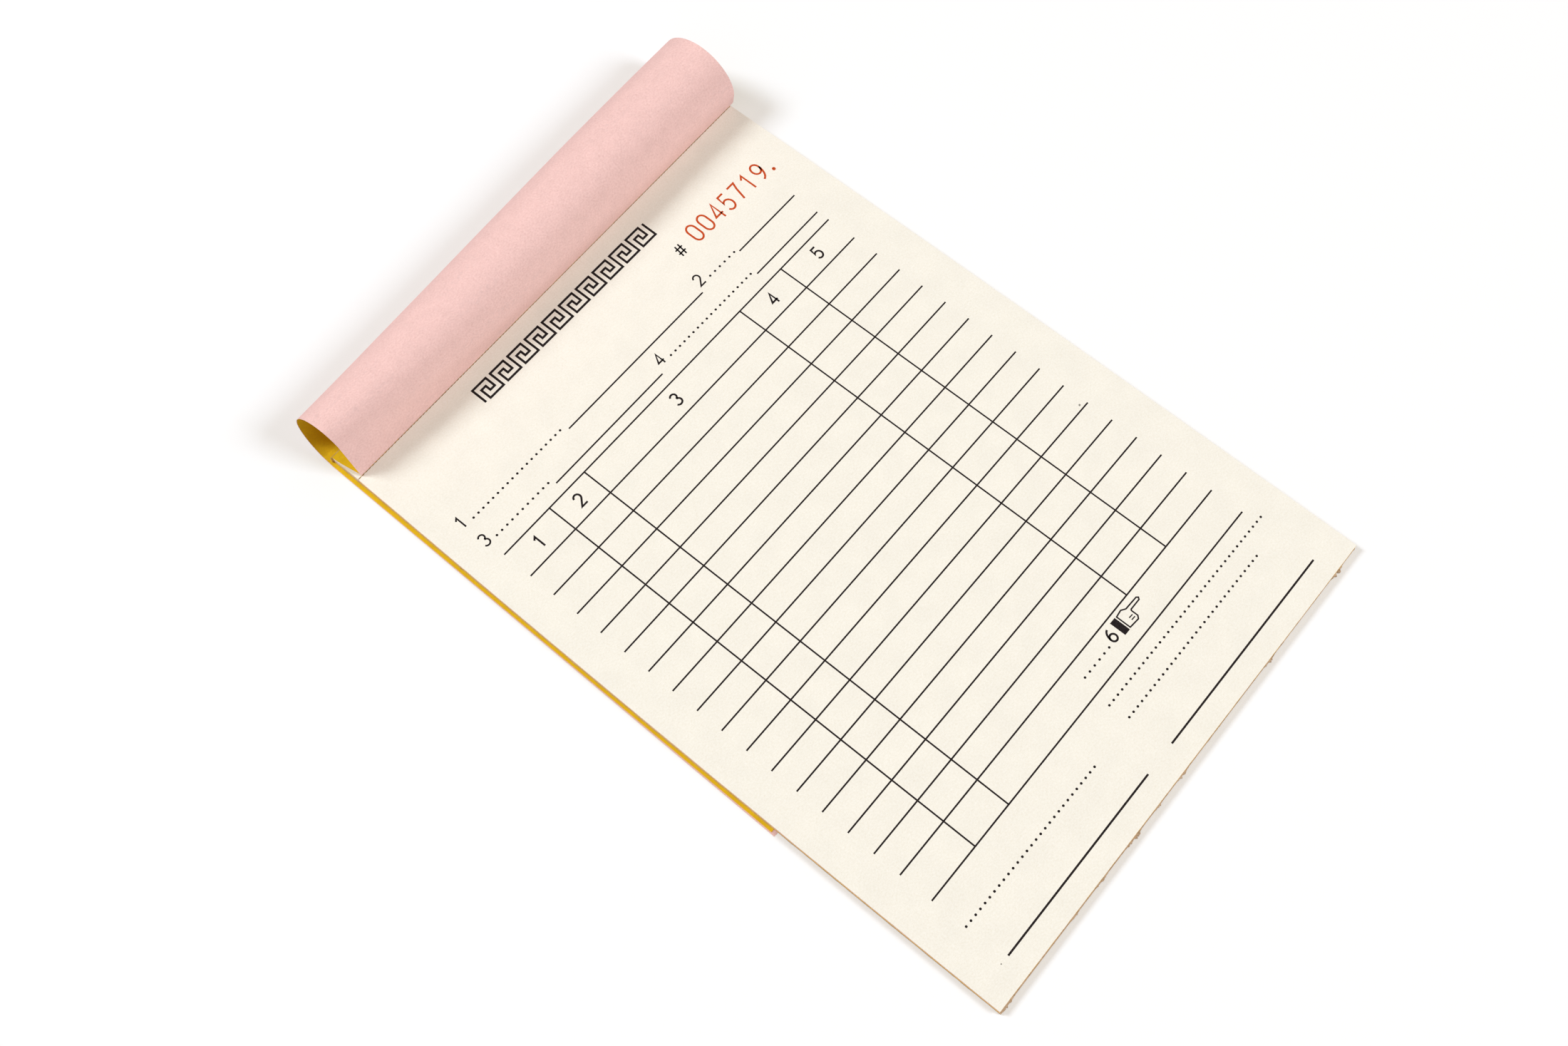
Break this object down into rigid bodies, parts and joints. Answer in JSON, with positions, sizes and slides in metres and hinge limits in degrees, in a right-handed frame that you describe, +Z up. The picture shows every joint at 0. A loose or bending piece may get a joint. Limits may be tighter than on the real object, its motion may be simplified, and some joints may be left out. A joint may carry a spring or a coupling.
{
  "type": "receipt book",
  "caption": "Bound book of receipt leaves in white, yellow and pink sets, with two copies folded up over the head in a loop and back under the book.",
  "frame": {"origin": "centre of the page, on the surface that the book lies on", "axes": "+X to the right across the page, +Y along the page to the bound head, +Z up, out of the written face"},
  "size_m": [0.117, 0.1754, 0.0148],
  "materials": {
    "white_paper": "matte",
    "yellow_paper": "matte",
    "pink_paper": "matte",
    "kraft_board": "matte",
    "padding_glue": "satin",
    "staple_wire": "satin"
  },
  "bodies": {
    "book_block": {"backing_board": "kraft_board", "head_glue": "padding_glue", "staple_left": "staple_wire", "staple_right": "staple_wire", "white_stubs": "white_paper", "yellow_stubs": "yellow_paper", "pink_stubs": "pink_paper", "yellow_copy_rise": "yellow_paper", "pink_copy_rise": "pink_paper"},
    "white_leaf_1": {"white_leaf_1": "white_paper"},
    "yellow_leaf_1": {"yellow_leaf_1": "yellow_paper"},
    "pink_leaf_1": {"pink_leaf_1": "pink_paper"},
    "white_leaf_2": {"white_leaf_2": "white_paper"},
    "yellow_leaf_2": {"yellow_leaf_2": "yellow_paper"},
    "pink_leaf_2": {"pink_leaf_2": "pink_paper"},
    "white_leaf_3": {"white_leaf_3": "white_paper"},
    "yellow_leaf_3": {"yellow_leaf_3": "yellow_paper"},
    "pink_leaf_3": {"pink_leaf_3": "pink_paper"},
    "white_leaf_4": {"white_leaf_4": "white_paper"},
    "yellow_leaf_4": {"yellow_leaf_4": "yellow_paper"},
    "pink_leaf_4": {"pink_leaf_4": "pink_paper"},
    "white_leaf_5": {"white_leaf_5": "white_paper"},
    "yellow_leaf_5": {"yellow_leaf_5": "yellow_paper"},
    "pink_leaf_5": {"pink_leaf_5": "pink_paper"},
    "copies_fold_1": {"yellow_copy_fold_1": "yellow_paper", "pink_copy_fold_1": "pink_paper"},
    "copies_fold_2": {"yellow_copy_fold_2": "yellow_paper", "pink_copy_fold_2": "pink_paper"},
    "copies_fold_3": {"yellow_copy_fold_3": "yellow_paper", "pink_copy_fold_3": "pink_paper"},
    "copies_fold_4": {"yellow_copy_fold_4": "yellow_paper", "pink_copy_fold_4": "pink_paper"},
    "copies_tail": {"yellow_copy_tail": "yellow_paper", "pink_copy_tail": "pink_paper"}
  },
  "joints": [
    {"name": "white_leaf_1_lift", "type": "hinge", "parent": "book_block", "child": "white_leaf_1", "pos_m": [0, 0.07537, 0.00172], "axis": [-1, 0, 0], "range_deg": [0, 60]},
    {"name": "yellow_leaf_1_tear_off", "type": "slide", "parent": "book_block", "child": "yellow_leaf_1", "axis": [0, -1, 0], "range_m": [0, 0.159]},
    {"name": "pink_leaf_1_tear_off", "type": "slide", "parent": "book_block", "child": "pink_leaf_1", "axis": [0, -1, 0], "range_m": [0, 0.159]},
    {"name": "white_leaf_2_tear_off", "type": "slide", "parent": "book_block", "child": "white_leaf_2", "axis": [0, -1, 0], "range_m": [0, 0.159]},
    {"name": "yellow_leaf_2_tear_off", "type": "slide", "parent": "book_block", "child": "yellow_leaf_2", "axis": [0, -1, 0], "range_m": [0, 0.159]},
    {"name": "pink_leaf_2_tear_off", "type": "slide", "parent": "book_block", "child": "pink_leaf_2", "axis": [0, -1, 0], "range_m": [0, 0.159]},
    {"name": "white_leaf_3_tear_off", "type": "slide", "parent": "book_block", "child": "white_leaf_3", "axis": [0, -1, 0], "range_m": [0, 0.159]},
    {"name": "yellow_leaf_3_tear_off", "type": "slide", "parent": "book_block", "child": "yellow_leaf_3", "axis": [0, -1, 0], "range_m": [0, 0.159]},
    {"name": "pink_leaf_3_tear_off", "type": "slide", "parent": "book_block", "child": "pink_leaf_3", "axis": [0, -1, 0], "range_m": [0, 0.159]},
    {"name": "white_leaf_4_tear_off", "type": "slide", "parent": "book_block", "child": "white_leaf_4", "axis": [0, -1, 0], "range_m": [0, 0.159]},
    {"name": "yellow_leaf_4_tear_off", "type": "slide", "parent": "book_block", "child": "yellow_leaf_4", "axis": [0, -1, 0], "range_m": [0, 0.159]},
    {"name": "pink_leaf_4_tear_off", "type": "slide", "parent": "book_block", "child": "pink_leaf_4", "axis": [0, -1, 0], "range_m": [0, 0.159]},
    {"name": "white_leaf_5_tear_off", "type": "slide", "parent": "book_block", "child": "white_leaf_5", "axis": [0, -1, 0], "range_m": [0, 0.159]},
    {"name": "yellow_leaf_5_tear_off", "type": "slide", "parent": "book_block", "child": "yellow_leaf_5", "axis": [0, -1, 0], "range_m": [0, 0.159]},
    {"name": "pink_leaf_5_tear_off", "type": "slide", "parent": "book_block", "child": "pink_leaf_5", "axis": [0, -1, 0], "range_m": [0, 0.159]},
    {"name": "copies_bend_1", "type": "hinge", "parent": "book_block", "child": "copies_fold_1", "pos_m": [0, 0.08415, 0.01472], "axis": [-1, 0, 0], "range_deg": [-60, 0]},
    {"name": "copies_bend_2", "type": "hinge", "parent": "copies_fold_1", "child": "copies_fold_2", "pos_m": [0, 0.0903, 0.01217], "axis": [-1, 0, 0], "range_deg": [-60, 0]},
    {"name": "copies_bend_3", "type": "hinge", "parent": "copies_fold_2", "child": "copies_fold_3", "pos_m": [0, 0.09285, 0.00602], "axis": [-1, 0, 0], "range_deg": [-60, 0]},
    {"name": "copies_bend_4", "type": "hinge", "parent": "copies_fold_3", "child": "copies_fold_4", "pos_m": [0, 0.09111, 0.00181], "axis": [-1, 0, 0], "range_deg": [-60, 0]},
    {"name": "copies_bend_5", "type": "hinge", "parent": "copies_fold_4", "child": "copies_tail", "pos_m": [0, 0.0869, 0.00007], "axis": [-1, 0, 0], "range_deg": [-60, 0]}
  ]
}
